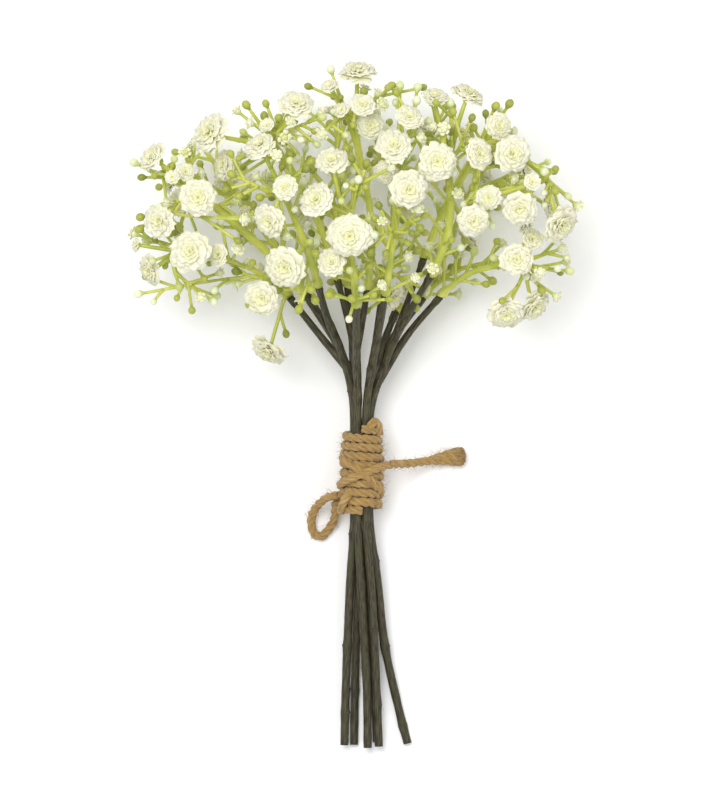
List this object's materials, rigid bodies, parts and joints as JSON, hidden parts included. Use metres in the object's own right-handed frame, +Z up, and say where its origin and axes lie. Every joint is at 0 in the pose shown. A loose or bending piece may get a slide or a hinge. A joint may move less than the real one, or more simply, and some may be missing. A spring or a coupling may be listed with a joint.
{
  "type": "faux gypsophila bunch",
  "caption": "Small tied bunch of faux gypsophila lying on its side: forked dark stems bound with jute twine under a domed head of yellow-green sprays with ivory double blooms and buds.",
  "frame": {"origin": "on the surface that the bunch lies on, under the middle of its outline", "axes": "+Y from the cut ends towards the blooms, +Z up from the surface, +X to the right of someone who looks down on it with the blooms away from them"},
  "size_m": [0.1769, 0.2704, 0.1065],
  "materials": {
    "dark_stem": "dull moulded plastic with a faint grain",
    "spray": "soft moulded plastic, yellow-green stalks and ivory blooms",
    "jute": "twisted natural jute"
  },
  "bodies": {
    "root": {"stem_left": "dark_stem", "stem_centre": "dark_stem", "stem_mid_right": "dark_stem", "stem_right": "dark_stem", "stem_back_left": "dark_stem", "stem_back_right": "dark_stem", "spray_left_low": "spray", "spray_left_mid": "spray", "spray_left_high": "spray", "spray_left_top": "spray", "spray_centre_high": "spray", "spray_centre_top": "spray", "spray_mid_high": "spray", "spray_mid_low": "spray", "spray_right_high": "spray", "spray_right_mid": "spray", "spray_right_low": "spray", "spray_back_far_left": "spray", "spray_back_left": "spray", "spray_back_right": "spray", "spray_back_far_right": "spray", "jute_winding": "jute", "jute_tail": "jute", "jute_loop": "jute"}
  },
  "joints": []
}
